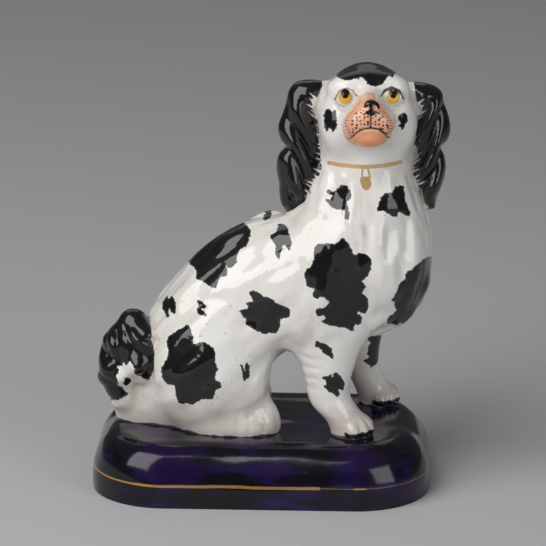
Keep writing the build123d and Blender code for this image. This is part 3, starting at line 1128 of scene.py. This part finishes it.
def white_glaze(n):
    """Warm white glaze with soft clouds, fine cracks, rare specks, a warm tan tint in the hollows, and
    painted shade mixed with stain that darkens it low down.
    """
    colour = n.mix(n.step(n.noise(22, detail=3.0), 0.38, 0.68), WHITE, WHITE_SHADE)
    cracks = n.cells(1 / (3.2 * MM), n.place, feature="DISTANCE_TO_EDGE").outputs["Distance"]
    crazed = n.times(n.step(cracks, 0.05, 0.0), n.step(n.noise(26), 0.45, 0.6), 0.16)
    specks = n.step(n.noise(1.3, detail=0.0), 0.80, 0.86, 0.0, 0.7)
    # a warm tan tint in the grooves and hollows, from the hollow attribute, broken up by noise
    hollow = n.step(n.attribute("hollow"), 0.008, 0.06, 0.0, 0.42)
    worn = n.step(n.noise(9), 0.30, 0.62, 0.35, 1.0)
    # painted shade mixed with stain: the white darkens and warms towards the base, standing in for the shade
    # low on the haunches and feet
    height = n.math("MULTIPLY_ADD", n.noise(13, detail=3.0), -40 * MM, n.axes(n.place)[2])
    low_shade_and_stain = n.step(height, 34 * MM, 8 * MM, 0.0, 0.42)
    for share, paint in ((crazed, SPECK), (specks, SPECK), (n.times(hollow, worn), STAIN_AND_SHADE), (low_shade_and_stain, STAIN_AND_SHADE)):
        colour = n.mix(share, colour, paint)
    return colour


def enamel(n, colour):
    """Black enamel over a colour, where the black attribute is above zero, with brushed edges."""
    rough = n.math("MULTIPLY_ADD", n.attribute("crisp"), -0.75, 1.0)
    depth = n.math("MULTIPLY_ADD", n.wobble(1.0, 1.5), rough, n.attribute("black"))
    black = n.mix(n.step(depth, 0.1, 0.9), BLACK_THIN, BLACK)
    return n.mix(n.step(depth, -0.07, 0.10), colour, black)


def gilding(n, colour):
    """Gold over a colour, where the gilt attribute is above zero. Returns the colour and how metallic it
    is."""
    depth = n.math("ADD", n.attribute("gilt"), n.wobble(0.25, 1.2))
    share = n.step(depth, -0.08, 0.12, 0.0, 0.94)
    return n.mix(share, colour, n.mix(n.noise(2.5), *GOLDS)), n.times(share, 0.45)


def fired(n, colour, metallic, **coat):
    """The gloss of the dog's glaze, a little uneven."""
    n.glaze(colour, n.step(n.noise(30), 0.3, 0.7, 0.22, 0.34), metallic, **coat)
    n.bump(n.noise(2.6, detail=1.0), 0.05)
    return n.material


def dog_material():
    """White glaze, black patches and gilding, with cobalt caught along the foot."""
    n = Nodes("painted_glaze")
    colour = enamel(n, white_glaze(n))
    height = n.math("ADD", n.axes(n.place)[2], n.wobble(1.6 * MM, 3.0, stretch=(0.5, 0.5, 1)))
    seam = n.step(height, (TOP + 0.9) * MM, (TOP + 0.5) * MM, 0.0, 0.9)
    return fired(n, *gilding(n, n.mix(seam, colour, COBALT_STAIN)))


class Face(Nodes):
    """The dog's glaze with a painted face. The face attribute is the place in the head's own frame."""

    STROKE_PITCH = 0.125  # radians from one whisker stroke to the next

    def __init__(self):
        super().__init__("painted_face")
        self.colour = white_glaze(self)
        self.x, forward, self.z = self.axes(self.attribute("face", "Vector"))
        self.front = self.step(forward, -10.0, -12.0)
        self.side = self.math("ABSOLUTE", self.x)
        self.unsteady = self.wobble(0.25, 3.0)
        self.blush = self.attribute("blush")

    def paint(self, share, paint, strength=1.0):
        """Lays a paint over the face where share is above zero."""
        self.colour = self.mix(self.times(share, self.times(self.front, strength)), self.colour, paint)

    def spot(self, cx, cz, radius, soft=0.15, tall=1.0):
        """1 inside an oval on each side of the face, radius wide and tall times as high."""
        dx = self.math("SUBTRACT", self.side, cx)
        dz = self.math("DIVIDE", self.math("SUBTRACT", self.z, cz), tall)
        away = self.math("SQRT", self.math("ADD", self.times(dx, dx), self.times(dz, dz)))
        away = self.math("ADD", away, self.times(self.unsteady, 0.4))
        return self.step(away, radius + soft, radius - soft)

    def brush(self, name, half):
        """1 along a painted line, from its signed distance. The plain distance beside it ends the line,
        as the signed one changes sign past the line's ends too."""
        away = self.math("ADD", self.math("ABSOLUTE", self.attribute(name)), self.times(self.unsteady, 0.5))
        ends = self.step(self.attribute(name + "_away"), 1.3, 0.9)
        return self.times(self.step(self.math("SUBTRACT", half, away), -0.12, 0.12), ends)

    def muzzle(self):
        salmon = self.mix(self.step(self.z, -6.0, -11.0), SALMON, SALMON_DEEP)
        streaks = self.noise(3.0, stretch=(0.35, 1.0, 1.0), detail=3.0)
        salmon = self.mix(self.step(streaks, 0.38, 0.66, 0.0, 0.35), salmon, SALMON_DEEP)
        self.paint(self.step(self.math("ADD", self.blush, self.unsteady), -0.35, 0.45), salmon, 0.94)

    def whisker_dots(self):
        flat = self.node("ShaderNodeCombineXYZ", (self.x, self.z, 0.0)).outputs[0]
        dots = self.cells(0.6, flat, voronoi_dimensions="2D")
        dots.inputs["Randomness"].default_value = 0.55
        size = self.math("MULTIPLY_ADD", self.noise(2.2), 0.5, 0.03)
        dotted = self.step(self.math("SUBTRACT", size, dots.outputs["Distance"]), -0.04, 0.03)
        pads = self.times(self.step(self.blush, 2.0, 3.0), self.step(self.attribute("pads"), -0.4, 0.2))
        self.paint(self.times(dotted, pads), INK, 0.95)

    def whisker_strokes(self):
        angle = self.math("ARCTAN2", self.math("ADD", self.z, 3.0), self.side)
        rays = self.math("SINE", self.times(angle, 2 * math.pi / self.STROKE_PITCH))
        rays = self.step(self.math("ADD", rays, self.times(self.unsteady, 3.0)), 0.35, 0.85)
        ring = self.times(self.step(self.blush, 0.3, 0.9), self.step(self.blush, 3.3, 2.5))
        level = self.times(self.step(self.z, -9.6, -8.4), self.step(self.z, 2.6, 1.2))
        self.paint(self.times(rays, ring, level, self.step(self.x, -2.0, 2.0, 0.7, 0.95)), BROWN_INK)

    def mouth_and_nose(self):
        self.paint(self.brush("mouth", self.step(self.x, -9.0, 9.0, 0.24, 0.42)), INK, 0.95)
        self.paint(self.step(self.attribute("nose"), -0.12, 0.12), BLACK)

    def eyes(self):
        open_eye = self.step(self.attribute("eye"), -0.12, 0.12)
        self.paint(open_eye, self.mix(self.spot(10.45, 6.4, 2.3, 0.7), AMBER_RIM, AMBER))
        self.paint(self.times(open_eye, self.spot(10.5, 8.9, 1.85, tall=1.15)), BLACK)
        heavy = self.times(self.step(self.x, -1.0, 1.0), self.step(self.z, 7.8, 10.2))
        ink = self.mix(self.step(self.x, -1.0, 1.0), BROWN_INK, INK)
        self.paint(self.brush("lid", self.math("MULTIPLY_ADD", heavy, 0.5, 0.3)), ink, 0.92)


def face_material():
    n = Face()
    n.muzzle()
    n.whisker_dots()
    n.whisker_strokes()
    n.mouth_and_nose()
    n.eyes()
    return fired(n, *gilding(n, enamel(n, n.colour)), coat=0.75, coat_roughness=0.08)


LINE_HEIGHT = 10.4  # of the gilt line round the base
LINE_HALF = 0.72
LINE_END = 0.0277  # in metres: from here to the front corner the gilding is worn to a trace


def gilt_line(n, x, y, z):
    """How much gold there is of the line round the base, with its worn length and one dash left in it."""
    height = n.math("ADD", z, n.wobble(0.6 * MM, 28))
    away = n.math("ABSOLUTE", n.math("SUBTRACT", height, LINE_HEIGHT * MM))
    frayed = n.math("ADD", away, n.wobble(0.2 * MM, 2.0, stretch=(0.4, 0.4, 1.5)))
    half = n.step(x, -0.070, -0.030, 0.45 * MM, LINE_HALF * MM)
    line = n.step(n.math("SUBTRACT", frayed, half), 0.0, -0.18 * MM)
    worn = n.times(n.step(x, LINE_END, LINE_END + 0.0003), n.step(y, 0.02, 0.0))
    trace = n.step(frayed, 0.3 * MM, 0.1 * MM, 0.0, 0.4)
    dash = n.times(n.step(x, 0.0425, 0.0435), n.step(x, 0.0490, 0.0475))
    dash = n.times(dash, n.step(frayed, 0.5 * MM, 0.3 * MM, 0.0, 0.9))
    line = n.node("ShaderNodeCombineXYZ", (line, line, line)).outputs[0]
    return n.mix(worn, line, n.math("MAXIMUM", trace, dash))


def cobalt_material():
    """Near-black cobalt glaze with violet clouds, blue streaks mostly low down, and the gilt line."""
    n = Nodes("cobalt_cushion")
    x, y, z = n.axes(n.place)
    colour = n.mix(n.step(n.noise(26, stretch=(1, 1, 2.2), detail=3.0), 0.47, 0.64), COBALT, VIOLET)
    streaks = n.step(n.noise(9, stretch=(0.5, 0.5, 2.0), detail=3.0), 0.52, 0.70)
    colour = n.mix(n.times(streaks, n.step(z, 0.024, 0.014, 0.15, 0.9)), colour, BLUE)
    colour = n.mix(n.step(n.noise(1.0, detail=0.0), 0.84, 0.87, 0.0, 0.5), colour, BLUE_SPECK)
    share = gilt_line(n, x, y, z)
    colour = n.mix(share, colour, n.mix(n.noise(3.0), *LINE_GOLDS))
    n.glaze(colour, 0.16, n.times(share, 0.5), coat=0.8, coat_roughness=0.12, coat_ior=1.45)
    n.bump(n.noise(26, stretch=(0.6, 1, 1), detail=1.0), 3.2)
    return n.material


def clay_material():
    """Unglazed pale clay, fired buff and rubbed grey where it stands."""
    n = Nodes("bare_clay_body")
    colour = n.mix(n.noise(14, detail=4.0), *CLAYS)
    colour = n.mix(n.step(n.noise(0.8, detail=1.0), 0.60, 0.74, 0.0, 0.6), colour, GRIT)
    n.shade({"Base Color": colour, "Roughness": 0.85})
    n.bump(n.noise(1.0, detail=4.0), 0.12)
    return n.material


# ---- face painting, as signed distances in the head's own frame ----

BLUSH = [
    (0, 9.6), (2.6, 8.4), (4.4, 6.2), (6.4, 3.4), (8.6, 0.9), (10.4, -2.2), (11.1, -5.4), (10.8, -8),
    (9, -11.2), (5.4, -13.6), (0, -14.5),
]
BLUSH_SHIFT = 0.8  # how far the painted muzzle sits to the dog's right of the nose
EYE_OPEN = [
    (13.3, 7.3), (12.5, 9.6), (10.4, 10.8), (8.3, 9.7), (7.6, 7.3), (8.5, 5.1), (10.4, 4.3), (12.4, 5.1),
]
PAD = [(1, -0.2), (3.4, 1.8), (6.2, 1), (8.2, -2), (8.4, -6.5), (7, -8.6), (4, -6.6), (1, -5.4)]
NOSE = [
    (-2.9, 3), (-2.8, 4.5), (-1.9, 5.7), (-0.6, 6.4), (0.7, 6.5), (2.1, 6.1), (3.2, 5.2), (3.9, 3.9),
    (4, 2.4), (3.2, 2.4), (2.7, 3.4), (1.9, 3.9), (1, 3.5), (1, 2.7), (1.5, 1.8), (2.5, 1.1),
    (2.3, 0.2), (1, -0.5), (0, -0.9), (-1.1, -0.2), (-2.3, 0.2), (-2.3, 1.2), (-1.2, 1.9), (-0.8, 2.8),
    (-0.9, 3.5), (-1.9, 3.1),
]


def mirrored(half):
    """The outline whose half to the dog's left is given."""
    return half + [(-x, z) for x, z in reversed(half) if x > 0]


def above_line(q, points):
    """Distance to an open line of points, with the sign negative below the line."""
    x, z = np.array(points, float).T
    order = np.argsort(x)
    height = np.interp(q[:, 0], x[order], z[order])
    return np.sign(q[:, 1] - height) * line_distance(q, points)


def face_paint(p):
    """The attributes that the face's material reads."""
    q = in_head(p)
    flat = np.stack([np.abs(q[:, 0]), q[:, 2]], 1)
    full = q[:, [0, 2]]
    mouth = above_line(full, MOUTH)
    cleft = np.where((q[:, 2] < -0.5) & (q[:, 2] > -6.1), q[:, 0], 9.0)
    return {
        "face": q,
        "blush": depth_inside(full + (BLUSH_SHIFT, 0), mirrored(BLUSH)),
        "eye": depth_inside(flat, EYE_OPEN),
        "pads": depth_inside(flat, PAD),
        "nose": depth_inside(full, NOSE),
        "mouth": np.where(np.abs(cleft) < np.abs(mouth), cleft, mouth),
        "mouth_away": np.minimum(line_distance(full, MOUTH), line_distance(full, CLEFT)),
        "lid": above_line(flat, LID),
        "lid_away": line_distance(flat, LID),
    }


# ---- the pieces ----


def painted_piece(name, node, material, data, triangles, with_face=False):
    """Closes one patch of the dog into a shell, paints it, and lets it stand for a CAD node."""
    used, triangles = np.unique(triangles, return_inverse=True)
    triangles = triangles.reshape(-1, 3)
    rows = data[used]
    black, gilt, crisp = brushwork(rows[:, SMOOTH], rows[:, NORMAL], rows[:, NEAREST])
    black = np.maximum(black, claws(rows[:, SMOOTH]))
    layers = {"black": black, "gilt": gilt, "crisp": crisp, "hollow": rows[:, HOLLOW]}
    if with_face:
        layers |= face_paint(rows[:, SMOOTH])
    points, normals, faces = close_shell(rows[:, PLACE], rows[:, NORMAL], triangles)
    layers = {key: np.concatenate([values, values]) for key, values in layers.items()}
    thing = make_mesh(name, points, normals, faces, layers)
    thing.data.materials.append(material)
    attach(thing, "root")
    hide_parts(node)


def make_dog():
    glaze, face = dog_material(), face_material()
    data, rest = sculpt(*HEAD_BOX, FINE)
    for side in SIDES:
        data, taken, rest = take(data, rest, part_wins("ear_" + side))
        painted_piece(side + "_ear", "ear_" + side, glaze, data, taken)
    data, rest, _ = take(data, rest, over(COLLAR))
    data, front, back = take(data, rest, front_of_head)
    painted_piece("face_shell", "head_front_half", face, data, front, with_face=True)
    painted_piece("skull_shell", "head_back_half", glaze, data, back)
    data, rest = sculpt(*BODY_BOX, COARSE)
    for side in (part_wins("ear_right"), part_wins("ear_left"), over(COLLAR), under(TOP - 0.6)):
        data, _, rest = take(data, rest, side)
    data, taken, rest = take(data, rest, part_wins("tail"))
    painted_piece("brush_tail", "tail", glaze, data, taken)
    for side in SIDES:
        for limb, name in (("foreleg_", "_foreleg"), ("hind_leg_", "_hind_leg")):
            data, taken, rest = take(data, rest, part_wins(limb + side))
            painted_piece(side + name, limb + side, glaze, data, taken)
    data, right, left = take(data, rest, right_of_seam)
    painted_piece("right_flank", "body_right_half", glaze, data, right)
    painted_piece("left_flank", "body_left_half", glaze, data, left)


def dress_base():
    for node, material in (("base_cushion", cobalt_material()), ("base_slab", clay_material())):
        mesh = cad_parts[node].data
        mesh.materials.clear()
        mesh.materials.append(material)


# ---- floor, light and camera ----

CAMERA_PLACE = (0.065276, -1.437490, 0.523512)
CAMERA_TARGET = (0.0, 0.0, 0.100)
LIGHTS_TARGET = (0, 0, 0.1)
LENS = 219.4
SHIFT = (0.0196, -0.0172)

FLOOR_FADE = (1.2, 2.4)  # metres from the middle between which the floor takes the wall's colour
FLAT_FLOOR = 2.0  # radius of the flat floor, beyond every camera
COVE = 0.9  # radius of the curve from the floor up to the wall
WALL_TOP = 1.7
COVE_STEPS = 14
ROUND = 96  # corners round the floor


def set_stage():
    """A round floor that curves up into a wall on every side."""
    n = Nodes("pale_floor")
    reach = n.node("ShaderNodeVectorMath", (n.place,), operation="LENGTH").outputs["Value"]
    # painted shade: the pale floor darkens into the wall's grey with distance from the middle
    colour = n.mix(n.step(reach, *FLOOR_FADE), FLOOR, PAINTED_WALL_SHADE)
    n.shade({"Base Color": colour, "Roughness": 0.85, "Specular IOR Level": 0.15})
    profile = [(FLAT_FLOOR, 0.0)]
    for step in range(1, COVE_STEPS + 1):
        angle = math.radians(90 * step / COVE_STEPS)
        profile.append((FLAT_FLOOR + COVE * math.sin(angle), COVE * (1 - math.cos(angle))))
    profile.append((FLAT_FLOOR + COVE, WALL_TOP))
    points, faces = [(0.0, 0.0, 0.0)], []
    for reach, height in profile:
        for i in range(ROUND):
            angle = 2 * math.pi * i / ROUND
            points.append((reach * math.cos(angle), reach * math.sin(angle), height))
    for i in range(ROUND):
        j = (i + 1) % ROUND
        faces.append((0, 1 + i, 1 + j))
        for ring in range(len(profile) - 1):
            near, far = 1 + ring * ROUND, 1 + (ring + 1) * ROUND
            faces.append((near + i, far + i, far + j, near + j))
    mesh = bpy.data.meshes.new("sweep")
    mesh.from_pydata(points, [], faces)
    mesh.shade_smooth()
    mesh.materials.append(n.material)
    sweep = linked("sweep", mesh)


def aimed(place, target):
    """The rotation of a lamp or camera that looks from one place at another."""
    return (Vector(target) - Vector(place)).to_track_quat("-Z", "Y").to_euler()


def add_light(name, place, size, power, colour=(1, 1, 1)):
    light = bpy.data.lights.new(name, "AREA")
    light.shape = "RECTANGLE"
    light.size, light.size_y = size
    light.energy = power
    light.color = colour
    thing = linked(name, light)
    thing.location = place
    thing.rotation_euler = aimed(place, LIGHTS_TARGET)


def set_lights():
    add_light("key", (-0.72, -0.74, 0.95), (1.2, 1.25), 17.4, (1.0, 0.99, 0.975))
    add_light("fill", (1.35, -1.25, 0.66), (1.0, 1.2), 10.0, (0.97, 0.98, 1.0))
    add_light("rim", (-0.25, 1.25, 1.15), (1.3, 0.9), 1.5)
    world = bpy.data.worlds.new("studio")
    world.use_nodes = True
    world.node_tree.nodes["Background"].inputs["Color"].default_value = (0.94, 0.95, 1.0, 1)
    world.node_tree.nodes["Background"].inputs["Strength"].default_value = 0.11
    bpy.context.scene.world = world
    bpy.context.scene.view_settings.view_transform = "Standard"


def set_camera():
    camera = bpy.data.cameras.new("camera")
    camera.lens = LENS
    camera.sensor_width = 36.0
    camera.shift_x, camera.shift_y = SHIFT
    thing = linked("camera", camera)
    thing.location = CAMERA_PLACE
    thing.rotation_euler = aimed(CAMERA_PLACE, CAMERA_TARGET)
    bpy.context.scene.camera = thing


set_camera()
make_dog()
dress_base()
set_stage()
set_lights()
